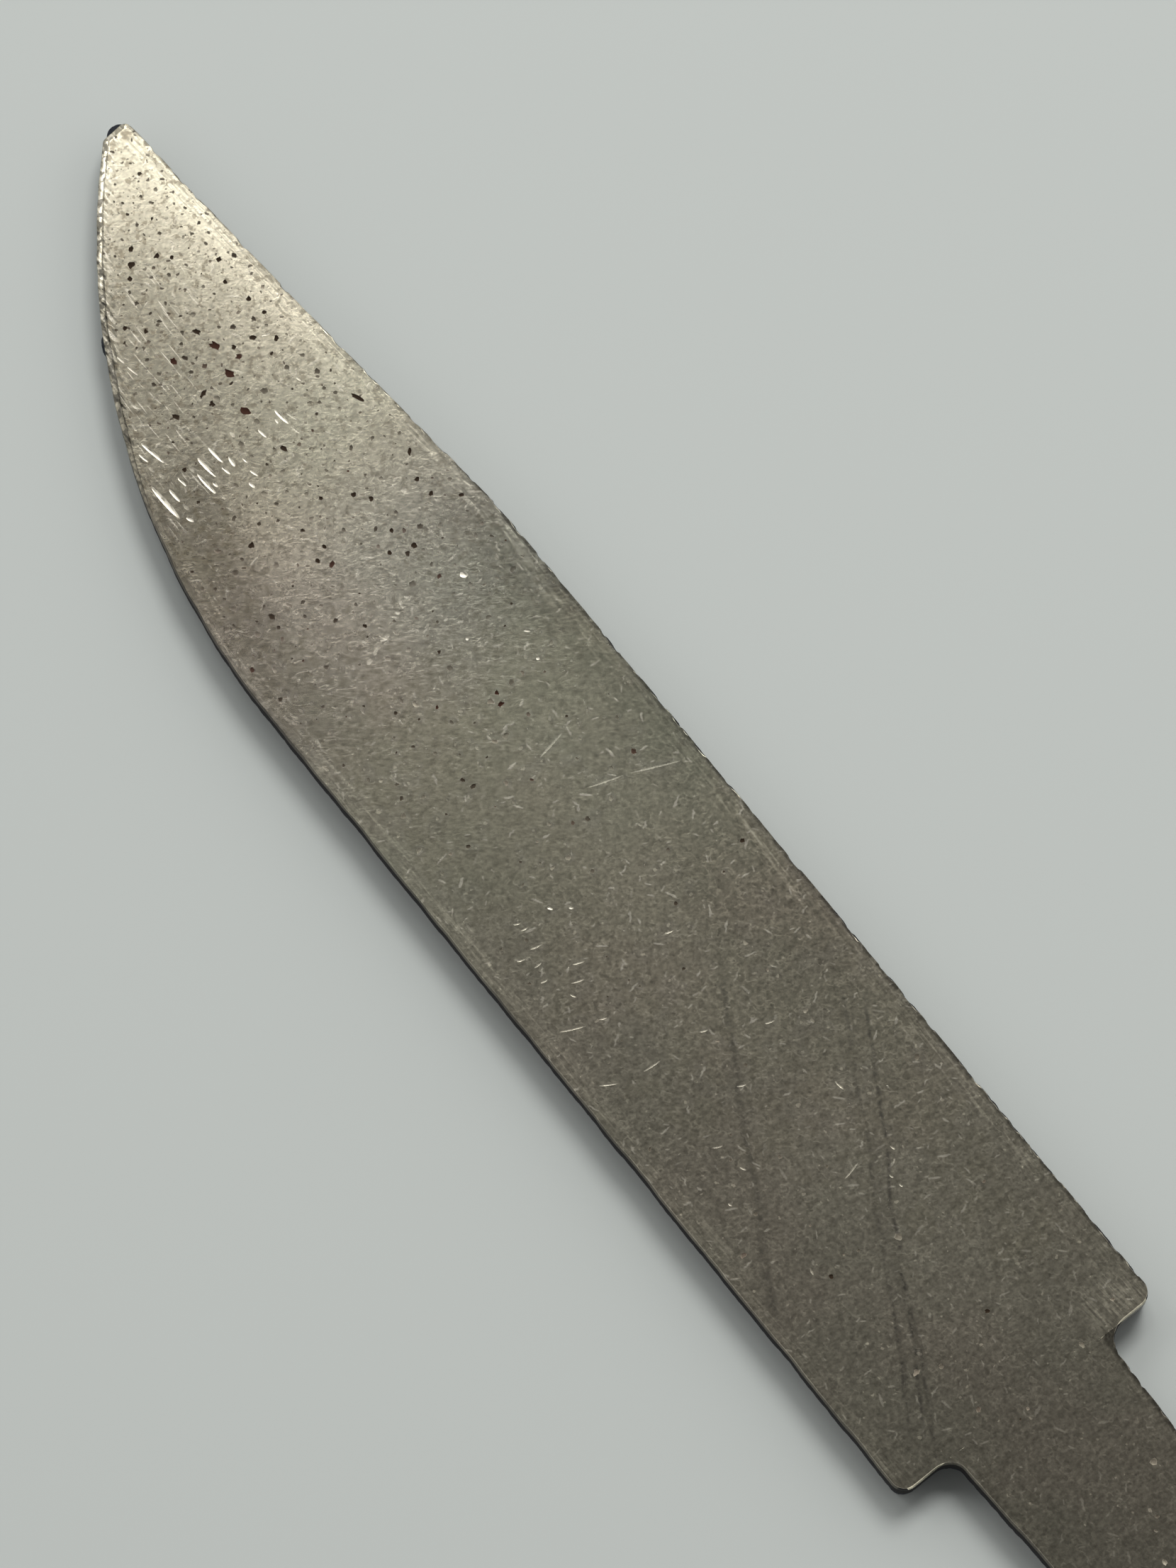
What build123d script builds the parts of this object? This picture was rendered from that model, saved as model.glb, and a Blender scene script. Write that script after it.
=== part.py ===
from build123d import *

import os
from math import radians, tan

# Knife blade blank: one flat steel blank, cut from sheet, before grinding and hardening.
#
# Frame, in millimetres: the origin is on the underside, in the middle of the shoulder line.
# +X runs along the blade to its nose, +Y across it to the cutting edge, +Z up through the sheet.
# The face that was drawn into the die, with the rolled rim, is the upper one.

# Sheet, and the land that the cut leaves round it
sheet_thickness = 2.3
roll_width = 0.45  # the rolled rim's reach inwards from the outline
roll_depth = 0.16  # its fall from the upper face
rim_radius = 0.14  # rounding where the roll turns into the sheared wall
fracture_height = 0.9  # the torn lower part of the wall
fracture_draft = 4.0  # degrees that the torn part leans in
under_break = 0.1  # tumbled corner round the underside

# Blade
blade_length = 101.1  # nose to shoulders
blade_width = 20.0
belly_length = 38.0  # the stretch over which the cutting edge curves up
belly_rise = 15.4  # from the straight of the cutting edge up to the nose
nose_width = 2.0  # the nose is cut off nearly square
nose_skew = 0.25  # its corner at the belly stands this far behind its corner at the back
roll_spare = 0.05  # how much more than the roll's reach a nose corner needs, for the roll to turn
nose_radius = roll_width + roll_spare
drop_length = 35.3  # the stretch over which the back falls to the nose
drop_hollow = 0.17  # how far that stretch sags below a straight line
drop_blend_radius = 30.0

# Shoulders, where the blade meets its tang
shoulder_radius = 1.0
back_root_radius = 1.7
edge_root_radius = 1.2

# Tang
tang_length = 90.0
tang_root_width = 12.0
tang_end_width = 5.3
tang_end_radius = 2.0

# Stubs of the two tabs that held the blank in its strip, one on the nose and one on the belly
tab_drop = 0.3  # their tops below the upper face
tab_foot = 0.35  # their feet above the underside
nose_tab_chord = 1.4  # width along the edge that the stub stands on
nose_tab_proud = 0.4  # how far it stands out
belly_tab_chord = 1.1
belly_tab_proud = 0.18
belly_tab_place = 14.0  # along the belly from the nose

half_width = blade_width / 2
nose_belly = Vector(blade_length - nose_skew, half_width - belly_rise)
nose_back = nose_belly + Vector(nose_skew, -nose_width)
near = 0.001  # how closely an edge is matched to its height


def belly_curve():
    """The arc of the cutting edge, from its straight stretch up to the nose."""
    start = (blade_length - belly_length, half_width)
    return TangentArc(start, nose_belly, tangent=(1, 0))


def corner(sketch, point):
    """The corner of a sketch nearest to a point."""
    return sketch.vertices().sort_by_distance(point)[0]


def blade_outline():
    """The blade alone: cutting edge, nose, falling back and a square shoulder line."""
    belly = belly_curve()
    drop_start = (blade_length - drop_length, -half_width)
    with BuildSketch() as blade:
        with BuildLine():
            add(belly)
            Line(nose_belly, nose_back)
            SagittaArc(nose_back, drop_start, -drop_hollow)
            Polyline(drop_start, (0, -half_width), (0, half_width), belly @ 0)
        make_face()
        fillet([corner(blade, nose_belly), corner(blade, nose_back)], nose_radius)
        fillet(corner(blade, drop_start), drop_blend_radius)
    return blade.sketch


def tang_outline():
    """The tang alone, which narrows evenly to a plain end with rounded corners."""
    root = tang_root_width / 2
    end = tang_end_width / 2
    with BuildSketch() as tang:
        with BuildLine():
            Polyline((0, root), (-tang_length, end), (-tang_length, -end), (0, -root), close=True)
        make_face()
        fillet(tang.vertices().group_by(Axis.X)[0], tang_end_radius)
    return tang.sketch


def blank_outline():
    """Blade and tang in one face, with rounded shoulders and filleted roots."""
    root = tang_root_width / 2
    with BuildSketch() as blank:
        add(blade_outline())
        add(tang_outline())
        fillet([corner(blank, (0, y)) for y in (-half_width, half_width)], shoulder_radius)
        fillet(corner(blank, (0, -root)), back_root_radius)
        fillet(corner(blank, (0, root)), edge_root_radius)
    return blank.sketch


def roll_rim(blank):
    """Turn the upper corner down in a shallow roll, rounded into the wall."""
    upper_face = blank.faces().sort_by(Axis.Z)[-1]
    blank = chamfer(upper_face.edges(), roll_width, roll_depth, reference=upper_face)
    foot = sheet_thickness - roll_depth
    return fillet(blank.edges().filter_by_position(Axis.Z, foot - near, foot + near), rim_radius)


def tear_wall(blank):
    """Lean the lower part of the wall in, as the torn part of a cut does."""
    under_face = blank.faces().sort_by(Axis.Z)[0]
    lean = fracture_height * tan(radians(fracture_draft))
    return chamfer(under_face.edges(), lean, fracture_height, reference=under_face)


def break_underside(blank):
    """Take the sharp corner off the lower face."""
    under_face = blank.faces().sort_by(Axis.Z)[0]
    return chamfer(under_face.edges(), under_break)


def tab_stub(foot, outward, chord, proud):
    """What is left of a tab: a low round stub on the wall at one point of the outline."""
    radius = (chord**2 / 4 + proud**2) / (2 * proud)
    height = sheet_thickness - tab_drop - tab_foot
    centre = foot - outward * (radius - proud)
    upright = (Align.CENTER, Align.CENTER, Align.MIN)
    return Pos(centre.X, centre.Y, tab_foot) * Cylinder(radius, height, align=upright)


def nose_stub():
    """The stub in the middle of the nose."""
    outward = Vector(nose_width, nose_skew).normalized()
    return tab_stub((nose_belly + nose_back) / 2, outward, nose_tab_chord, nose_tab_proud)


def belly_stub():
    """The stub part of the way along the belly."""
    belly = belly_curve()
    along = 1 - belly_tab_place / belly.length
    outward = (belly % along).rotate(Axis.Z, 90)
    return tab_stub(belly @ along, outward, belly_tab_chord, belly_tab_proud)


def blade_blank():
    """The finished blank."""
    sheared = extrude(blank_outline(), sheet_thickness)
    blank = break_underside(tear_wall(roll_rim(sheared)))
    return blank + nose_stub() + belly_stub()


def main():
    """Build the blank and write it out."""
    os.makedirs("parts", exist_ok=True)
    blank = blade_blank()
    print("volume", round(blank.volume, 1), "mm3, solids", len(blank.solids()))
    export_step(blank, "parts/blade_blank.step")


main()
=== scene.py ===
"""Scene of a knife blade blank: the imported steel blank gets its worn, tumbled skin.

Lengths are in millimetres until they reach a mesh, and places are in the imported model's frame:
+X runs to the nose, +Y to the cutting edge and +Z up through the sheet.
"""

import logging
import math
from collections.abc import Callable, Sequence
from dataclasses import dataclass
from enum import Enum

import bpy
from bpy.types import ID, Material, Mesh, NodeSocket, NodeTree, Object
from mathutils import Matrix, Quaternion, Vector, noise


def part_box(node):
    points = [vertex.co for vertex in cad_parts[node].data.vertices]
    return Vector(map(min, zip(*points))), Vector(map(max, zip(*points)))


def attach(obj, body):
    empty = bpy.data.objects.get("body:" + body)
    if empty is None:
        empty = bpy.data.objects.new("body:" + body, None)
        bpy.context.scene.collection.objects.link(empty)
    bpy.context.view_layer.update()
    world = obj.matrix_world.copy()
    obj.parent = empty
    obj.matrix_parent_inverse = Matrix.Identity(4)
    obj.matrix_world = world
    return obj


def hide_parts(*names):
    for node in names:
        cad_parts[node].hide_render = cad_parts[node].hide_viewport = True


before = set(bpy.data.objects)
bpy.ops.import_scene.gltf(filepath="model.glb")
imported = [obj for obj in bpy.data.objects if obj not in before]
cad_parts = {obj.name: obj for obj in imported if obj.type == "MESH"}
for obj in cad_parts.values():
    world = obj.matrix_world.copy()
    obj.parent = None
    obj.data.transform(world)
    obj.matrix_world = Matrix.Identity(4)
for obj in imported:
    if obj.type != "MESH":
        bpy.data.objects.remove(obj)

MM = 0.001
CAD_NODE = "blade_blank"

Colour = tuple[float, float, float, float]
Way = tuple[float, float, float]
Face = tuple[int, ...]

log = logging.getLogger("blade_blank")


def operator(operation: str) -> Callable[["Term", "Term | float"], "Term"]:
    """Make a method that puts its two values through a Math node."""
    return lambda self, other: self.math(operation, other)


class Term:
    """A node's socket that Python operators work on.

    Comparing gives 1 where it is true, else 0, and least and most pick one of two.
    """

    def __init__(self, net: "Net", socket: NodeSocket) -> None:
        """Keep the socket and the net that it belongs to."""
        self.net = net
        self.socket = socket

    def other(self, outlet: str) -> "Term":
        """Give another output of the same node."""
        return Term(self.net, self.socket.node.outputs[outlet])

    def math(self, operation: str, *others: "Term | float", clamp: bool = False) -> "Term":
        """Add a Math node that starts with this socket, kept from 0 to 1 where clamp is set."""
        values = dict(enumerate((self, *others)))
        return self.net.add("ShaderNodeMath", {"operation": operation, "use_clamp": clamp}, values)

    __add__ = __radd__ = operator("ADD")
    __sub__ = operator("SUBTRACT")
    __mul__ = __rmul__ = operator("MULTIPLY")
    __truediv__ = operator("DIVIDE")
    __gt__ = operator("GREATER_THAN")
    __lt__ = operator("LESS_THAN")
    least = operator("MINIMUM")
    most = operator("MAXIMUM")

    def __rsub__(self, other: float) -> "Term":
        """Subtract from a number."""
        return self * -1 + other

    def __abs__(self) -> "Term":
        """Drop the sign."""
        return self.math("ABSOLUTE")

    def clamped(self) -> "Term":
        """Keep from 0 to 1."""
        return self.math("ADD", 0.0, clamp=True)

    def rise(self, start: float, end: float) -> "Term":
        """Go smoothly from 0 to 1.

        Args:
            start: Where it is 0. It may be the larger of the two.
            end: Where it is 1.

        Returns:
            The result, which stays as it is beyond either end.
        """
        (low, at_low), (high, at_high) = sorted(((start, 0.0), (end, 1.0)))
        span = {"Value": self, "From Min": low, "From Max": high, "To Min": at_low, "To Max": at_high}
        return self.net.add("ShaderNodeMapRange", {"interpolation_type": "SMOOTHSTEP"}, span)

    def within(self, *places: float) -> "Term":
        """Rise from the first place to the second, and fall again from the third to the fourth if given."""
        inside = self.rise(*places[:2])
        return inside * self.rise(*places[:1:-1]) if places[2:] else inside


Plug = Term | float | int | bool | str | tuple | ID | list


def spaced(sockets: dict[str, Plug]) -> dict[str, Plug]:
    """Turn the underscores of keyword names into the spaces of socket names."""
    return {name.replace("_", " "): value for name, value in sockets.items()}


class Net:
    """A node tree, for a surface or for geometry, that is written as calls."""

    def __init__(self, tree: NodeTree) -> None:
        """Take over a tree and empty it."""
        self.tree = tree
        tree.nodes.clear()

    def add(
        self,
        kind: str,
        settings: dict[str, object] | None = None,
        sockets: dict[int | str, Plug] | None = None,
        outlet: int | str = 0,
    ) -> Term:
        """Add a node.

        Args:
            kind: The node's type.
            settings: Its properties, which are set first.
            sockets: The values or links of its inputs, by name or place. A list is several links.
            outlet: The output that is given back, by name or place.

        Returns:
            The chosen output.
        """
        node = self.tree.nodes.new(kind)
        for name, value in (settings or {}).items():
            setattr(node, name, value)
        for key, value in (sockets or {}).items():
            self.plug(node.inputs[key], value)
        return Term(self, node.outputs[outlet])

    def plug(self, socket: NodeSocket, value: Plug) -> None:
        """Link a socket or set its value.

        Args:
            socket: The input.
            value: Its value, or the output or list of outputs that it is linked to.
        """
        for one in value if isinstance(value, list) else [value]:
            if isinstance(one, Term):
                self.tree.links.new(one.socket, socket)
            else:
                socket.default_value = one

    def end(self, kind: str, result: Term) -> None:
        """Send a result to an output node."""
        self.tree.links.new(result.socket, self.tree.nodes.new(kind).inputs[0])

    def vector(self, operation: str, *values: Plug, outlet: int | str = 0) -> Term:
        """Add a Vector Math node."""
        return self.add("ShaderNodeVectorMath", {"operation": operation}, dict(enumerate(values)), outlet)

    def scaled(self, vector: Term, factor: Term | float) -> Term:
        """Scale a vector by a number."""
        return self.add("ShaderNodeVectorMath", {"operation": "SCALE"}, {"Vector": vector, "Scale": factor})

    def joined(self, x: Term | float = 0.0, y: Term | float = 0.0, z: Term | float = 0.0) -> Term:
        """Make a vector of three numbers."""
        return self.add("ShaderNodeCombineXYZ", None, {"X": x, "Y": y, "Z": z})

    def parts(self, vector: Term) -> tuple[Term, ...]:
        """Split a vector into its three numbers."""
        first = self.add("ShaderNodeSeparateXYZ", None, {0: vector})
        return tuple(first.other(axis) for axis in "XYZ")

    def noise(self, where: Term, scale: float = 1.0, detail: float = 2.0, rough: float = 0.5) -> Term:
        """Cloudy noise from 0 to 1, with its scale in features per unit of length."""
        sockets = {"Vector": where, "Scale": scale, "Detail": detail, "Roughness": rough}
        return self.add("ShaderNodeTexNoise", None, sockets)


class SurfaceNet(Net):
    """A material's node tree, with what finishes share."""

    def place(self) -> Term:
        """The place on the object, in millimetres."""
        return self.scaled(self.add("ShaderNodeTexCoord", outlet="Object"), 1 / MM)

    def dashes(self, where: Term, scale: float, order: Term | float, turn: float) -> Term:
        """Short strokes that lie every way where order is 0, and along turn where it is 1."""
        # Input 4 is the direction of flat strokes. It shares its name with the one for solid strokes.
        sockets = {"Vector": where, "Scale": scale, "Anisotropy": order, "Frequency": 1.6, 4: turn}
        return self.add("ShaderNodeTexGabor", {"gabor_type": "2D"}, sockets, "Value")

    def strokes(
        self, where: Term, per_mm: float, size: tuple[float, float], share: Term | float, seed: float
    ) -> Term:
        """Scatter short soft-ended strokes that lie every way.

        Args:
            where: The place, in millimetres.
            per_mm: How many there could be along a millimetre.
            size: The half length and half width of the largest, in millimetres.
            share: The part of them that is there.
            seed: A number that sets them apart from other strokes.

        Returns:
            A mask of the strokes, from faint ones to 1.
        """
        x, y, _ = self.parts(where)
        ragged = (self.noise(where, 3.6) - 0.5) * size[1] * 3
        flat = self.joined(x + seed * 7.3 + ragged, y - seed * 3.1 + ragged)
        settings = {"voronoi_dimensions": "2D", "feature": "F1"}
        cell = self.add("ShaderNodeTexVoronoi", settings, {"Vector": flat, "Scale": per_mm})
        away_x, away_y, _ = self.parts(self.vector("SUBTRACT", flat, cell.other("Position")))
        turn, bulk, chance = self.parts(cell.other("Color"))
        turn = turn * math.tau
        cosine, sine = turn.math("COSINE"), turn.math("SINE")
        along, aside = abs(away_x * cosine + away_y * sine), abs(away_y * cosine - away_x * sine)
        scale = bulk * 0.65 + 0.35
        inside = (scale - along / size[0]).clamped() * (scale * 0.5 + 0.5 - aside / size[1]).clamped()
        return (inside * 5.0).clamped() * ((share - chance) * 3.0 + 0.25).clamped() * (chance < share)

    def worms(self, where: Term, per_mm: float) -> Term:
        """Thin winding lines, broken up, from 0 to 1."""
        line = abs(self.noise(where, per_mm) - 0.5).rise(0.075, 0.0)
        return line * self.noise(where, per_mm * 0.8 + 0.1, 1.0).rise(0.44, 0.6)

    def attribute(self, name: str) -> Term:
        """A number that the mesh carries."""
        return self.add("ShaderNodeAttribute", {"attribute_name": name}, outlet="Fac")

    def mix(self, share: Term | float, first: Plug, second: Plug) -> Term:
        """Mix two colours."""
        return self.add("ShaderNodeMix", {"data_type": "RGBA"}, {0: share, 6: first, 7: second}, 2)

    def bump(self, height: Term, depth: float) -> Term:
        """Turn a height from 0 to 1, which stands for a depth in millimetres, into a normal."""
        return self.add("ShaderNodeBump", None, {"Height": height, "Distance": depth * MM, "Strength": 1.0})

    def finish(self, **sockets: Plug) -> None:
        """Send a surface shader with these sockets to the material's output."""
        self.end("ShaderNodeOutputMaterial", self.add("ShaderNodeBsdfPrincipled", None, spaced(sockets)))


class GeometryNet(Net):
    """A geometry node tree with named inputs."""

    def __init__(self, name: str) -> None:
        """Make an empty tree that takes and gives one geometry.

        Args:
            name: What the tree is called.
        """
        super().__init__(bpy.data.node_groups.new(name, "GeometryNodeTree"))
        self.values: dict[str, object] = {}
        self.entry = self.tree.nodes.new("NodeGroupInput")
        self.source = self.input("Outline", "NodeSocketGeometry")
        self.tree.interface.new_socket("Blank", in_out="OUTPUT", socket_type="NodeSocketGeometry")

    def input(self, name: str, kind: str, value: object = None) -> Term:
        """Add a named input.

        Args:
            name: What the input is called.
            kind: Its socket type.
            value: What the modifier sets it to, or None where it is the modifier's own geometry.

        Returns:
            The input's socket inside the tree.
        """
        made = self.tree.interface.new_socket(name, in_out="INPUT", socket_type=kind)
        if value is not None:
            self.values[made.identifier] = value
        return Term(self, self.entry.outputs[name])

    def size(self, name: str, millimetres: float) -> Term:
        """Add a named length."""
        return self.input(name, "NodeSocketFloat", millimetres * MM)

    def shape(self, name: str, thing: Object) -> Term:
        """Add a named object, and give its geometry."""
        return self.step("ObjectInfo", self.input(name, "NodeSocketObject", thing), outlet="Geometry")

    def step(
        self,
        kind: str,
        first: Plug,
        settings: dict[str, object] | None = None,
        outlet: int | str = 0,
        **others: Plug,
    ) -> Term:
        """Add a node of the kinds that only geometry has.

        Args:
            kind: Its type, without the word GeometryNode.
            first: What its first input takes.
            settings: Its properties.
            outlet: The output that is given back.
            others: What further inputs take, with underscores for the spaces in their names.

        Returns:
            The chosen output.
        """
        return self.add("GeometryNode" + kind, settings, {0: first, **spaced(others)}, outlet)

    def place(self) -> Term:
        """The place of each point."""
        return self.add("GeometryNodeInputPosition")

    def open_edges(self) -> Term:
        """1 on the edges that have a face on one side only."""
        return self.add("GeometryNodeInputMeshEdgeNeighbors") < 2

    def moved(self, geometry: Term, offset: Plug) -> Term:
        """Move each point."""
        return self.step("SetPosition", geometry, Offset=offset)

    def store(self, geometry: Term, name: str, value: Plug, kind: str = "FLOAT", on: str = "POINT") -> Term:
        """Write a named number or vector on each point, edge or face corner."""
        settings = {"data_type": kind, "domain": on}
        return self.step("StoreNamedAttribute", geometry, settings, Name=name, Value=value)

    def read(self, name: str, kind: str = "FLOAT") -> Term:
        """Read a named attribute."""
        return self.add("GeometryNodeInputNamedAttribute", {"data_type": kind}, {"Name": name})

    def random(self, low: float, high: float, seed: int) -> Term:
        """A random number for each point."""
        sockets = {2: low, 3: high, "Seed": seed}
        return self.add("FunctionNodeRandomValue", {"data_type": "FLOAT"}, sockets, 1)

    def gap_to(self, lines: Term) -> Term:
        """How far each point is from the edges of a mesh."""
        return self.step("Proximity", lines, {"target_element": "EDGES"}, "Distance")

    def apply(self, thing: Object, result: Term) -> Mesh:
        """Run the tree on an object.

        Args:
            thing: The object whose mesh goes in.
            result: The geometry that comes out.

        Returns:
            The result as a plain mesh.
        """
        self.end("NodeGroupOutput", result)
        modifier = thing.modifiers.new("shape", "NODES")
        modifier.node_group = self.tree
        for identifier, value in self.values.items():
            modifier[identifier] = value
        bpy.context.view_layer.update()
        graph = bpy.context.evaluated_depsgraph_get()
        source = thing.evaluated_get(graph)
        mesh = bpy.data.meshes.new_from_object(source, preserve_all_data_layers=True, depsgraph=graph)
        thing.modifiers.remove(modifier)
        return mesh


def new_material(name: str) -> tuple[Material, SurfaceNet]:
    """Make a material with an empty tree.

    Args:
        name: What it is called.

    Returns:
        The material and its net.
    """
    material = bpy.data.materials.new(name)
    material.use_nodes = True
    return material, SurfaceNet(material.node_tree)


def placed(name: str, data: ID) -> Object:
    """Put a mesh, lamp or camera in the scene.

    Args:
        name: What the object is called.
        data: What it shows.

    Returns:
        The object.
    """
    thing = bpy.data.objects.new(name, data)
    bpy.context.scene.collection.objects.link(thing)
    return thing


def built(
    name: str, points: Sequence[Vector | Way], edges: Sequence[Face] = (), faces: Sequence[Face] = ()
) -> Object:
    """Make an object from the points, edges and faces of a mesh.

    Args:
        name: What it is called.
        points: Its points, in metres.
        edges: Its loose edges.
        faces: Its faces.

    Returns:
        The object.
    """
    mesh = bpy.data.meshes.new(name)
    mesh.from_pydata(points, edges, faces)
    return placed(name, mesh)


def write(thing: Object, on: str, **values: Sequence[float]) -> None:
    """Write numbers on a mesh, one for each of its points or edges."""
    for name, numbers in values.items():
        thing.data.attributes.new(name, "FLOAT", on).data.foreach_set("value", numbers)


def line(count: int, closed: bool = False) -> list[Face]:
    """The edges that join so many points in order."""
    return [(i, (i + 1) % count) for i in range(count if closed else count - 1)]


def ring_faces(rings: int, count: int) -> list[Face]:
    """The faces between rings of so many points each, which follow one another."""
    starts = [(ring * count, i, (i + 1) % count) for ring in range(rings - 1) for i in range(count)]
    return [(a + i, a + j, a + j + count, a + i + count) for a, i, j in starts]


@dataclass(frozen=True)
class Corner:
    """A corner of the outline, sharp where its radius is 0."""

    x: float
    y: float
    radius: float = 0.0

    @property
    def at(self) -> Vector:
        """Its place."""
        return Vector((self.x, self.y, 0.0))


@dataclass(frozen=True)
class Outline:
    """The blank's outline, with the same driving sizes as the solid."""

    half_width: float
    tang_length: float
    blade_length: float = 101.1
    belly_length: float = 38.0
    belly_rise: float = 15.4
    nose_width: float = 2.0
    nose_skew: float = 0.25
    nose_radius: float = 0.5
    drop_length: float = 35.3
    drop_hollow: float = 0.17
    drop_blend_radius: float = 30.0
    shoulder_radius: float = 1.0
    back_root_radius: float = 1.7
    edge_root_radius: float = 1.2
    tang_root: float = 6.0
    tang_end: float = 2.65
    tang_end_radius: float = 2.0
    belly_parts: int = 40
    drop_parts: int = 24
    corner_step: float = math.radians(7)
    step: float = 0.22

    @property
    def belly_start(self) -> float:
        """Where along X the belly begins to curve."""
        return self.blade_length - self.belly_length

    @property
    def belly_run(self) -> float:
        """How far along X the belly curves."""
        return self.belly_length - self.nose_skew

    @property
    def belly_radius(self) -> float:
        """The belly arc's radius."""
        return (self.belly_run**2 + self.belly_rise**2) / (2 * self.belly_rise)

    @property
    def belly_turn(self) -> float:
        """The angle that the belly turns through."""
        return math.asin(self.belly_run / self.belly_radius)

    @property
    def belly_centre(self) -> Vector:
        """The belly arc's centre, which lies under the start of the belly."""
        return Vector((self.belly_start, self.half_width - self.belly_radius, 0))

    @property
    def nose_belly(self) -> Vector:
        """The nose's corner at the belly."""
        return Vector((self.blade_length - self.nose_skew, self.half_width - self.belly_rise, 0))

    @property
    def nose_back(self) -> Vector:
        """The nose's corner at the back."""
        return self.nose_belly + Vector((self.nose_skew, -self.nose_width, 0))

    @property
    def drop_start(self) -> Vector:
        """Where the back begins to fall to the nose."""
        return Vector((self.blade_length - self.drop_length, -self.half_width, 0))

    def belly_point(self, from_nose: float) -> tuple[Vector, Vector]:
        """Find a place on the belly.

        Args:
            from_nose: Its distance along the arc from the nose.

        Returns:
            The place and the outward direction there.
        """
        angle = self.belly_turn - from_nose / self.belly_radius
        outward = Vector((math.sin(angle), math.cos(angle), 0))
        return self.belly_centre + outward * self.belly_radius, outward

    def belly(self) -> list[Corner]:
        """Follow the belly from the nose back to the straight edge.

        Returns:
            Its points, without the nose's corner.
        """
        length = self.belly_radius * self.belly_turn
        steps = [length * (i + 1) / self.belly_parts for i in range(self.belly_parts)]
        return [Corner(*self.belly_point(s)[0].xy) for s in steps]

    def drop(self) -> list[Corner]:
        """Follow the hollow fall of the back to the nose.

        Returns:
            Its points, without its two ends.
        """
        shares = [i / self.drop_parts for i in range(1, self.drop_parts)]
        straight = [self.drop_start.lerp(self.nose_back, t) for t in shares]
        sags = [self.drop_hollow * 4 * t * (1 - t) for t in shares]
        return [Corner(p.x, p.y + sag) for p, sag in zip(straight, sags)]

    def corners(self) -> list[Corner]:
        """Go once round the blank, anticlockwise seen from above.

        Returns:
            All its corners.
        """
        return [
            Corner(0, -self.half_width, self.shoulder_radius),
            Corner(*self.drop_start.xy, self.drop_blend_radius),
            *self.drop(),
            Corner(*self.nose_back.xy, self.nose_radius),
            Corner(*self.nose_belly.xy, self.nose_radius),
            *self.belly(),
            Corner(0, self.half_width, self.shoulder_radius),
            Corner(0, self.tang_root, self.edge_root_radius),
            Corner(-self.tang_length, self.tang_end, self.tang_end_radius),
            Corner(-self.tang_length, -self.tang_end, self.tang_end_radius),
            Corner(0, -self.tang_root, self.back_root_radius),
        ]

    def rounded(self, before: Corner, here: Corner, after: Corner) -> list[Vector]:
        """Round one corner.

        Args:
            before: The corner before it.
            here: The corner itself.
            after: The corner after it.

        Returns:
            The points that stand for it, one where it is sharp.
        """
        if not here.radius:
            return [here.at]
        back, on = (before.at - here.at).normalized(), (after.at - here.at).normalized()
        half = back.angle(on) / 2
        reach = here.radius / math.tan(half)
        centre = here.at + (back + on).normalized() * here.radius / math.sin(half)
        arm = here.at + back * reach - centre
        turn = math.copysign(math.pi - 2 * half, on.cross(back).z)
        parts = max(2, math.ceil(abs(turn) / self.corner_step))
        return [centre + Quaternion((0, 0, 1), turn * i / parts) @ arm for i in range(parts + 1)]

    def points(self) -> list[Vector]:
        """Round the corners and divide what lies between them.

        Returns:
            The closed outline, with no stretch longer than the step.
        """
        corners = self.corners()
        turns = zip(corners[-1:] + corners[:-1], corners, corners[1:] + corners[:1])
        bends = [p for before, here, after in turns for p in self.rounded(before, here, after)]
        outline: list[Vector] = []
        for here, after in zip(bends, bends[1:] + bends[:1]):
            parts = max(1, math.ceil((after - here).length / self.step))
            outline += [here.lerp(after, i / parts) for i in range(parts)]
        return outline


@dataclass(frozen=True)
class EdgeLand:
    """The section of the cut edge: rolled rim, sheared wall, torn wall and tumbled lower corner.

    Each row of the roll is a reach inwards from the outline and a fall from the upper face.
    """

    thickness: float
    roll: tuple[tuple[float, float], ...] = (
        (0.46, 0.0), (0.40, 0.007), (0.30, 0.033), (0.19, 0.074),
        (0.10, 0.115), (0.04, 0.16), (0.01, 0.20), (0.0, 0.25),
    )
    torn_height: float = 0.9
    torn_draft: float = math.radians(4)
    under_break: float = 0.1
    wall_parts: int = 5

    def points(self) -> list[tuple[float, float]]:
        """Draw the section from the upper face down.

        Returns:
            Its points, as depths inside the outline and heights.
        """
        rim = self.thickness - self.roll[-1][1]
        lean = self.torn_height * math.tan(self.torn_draft)
        shares = [i / self.wall_parts for i in range(self.wall_parts + 1)]
        sheared = [(0.0, rim + (self.torn_height - rim) * share) for share in shares[1:-1]]
        fall = self.torn_height - self.under_break
        torn = [(lean * share, self.torn_height - fall * share) for share in shares]
        rolled = [(inset, self.thickness - drop) for inset, drop in self.roll]
        return rolled + sheared + torn + [(lean + self.under_break, 0.0)]

    def build(self) -> Object:
        """Make the section, turned as the sweep takes it.

        Returns:
            A line that carries its depths inside the outline.
        """
        section = self.points()
        places = [Vector((-inset, -height, 0)) * MM for inset, height in section]
        thing = built("section", places, line(len(section)))
        write(thing, "POINT", inset=[inset * MM for inset, _ in section])
        return thing


@dataclass(frozen=True)
class Wear:
    """How a kind of mark is sunk and toned.

    Tone is -1 for darkest and 1 for brightest, and breadth is a factor on the width of each mark.
    """

    depth: float
    tone: float
    breadth: float = 1.0
    rust: float = 0.0


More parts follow.
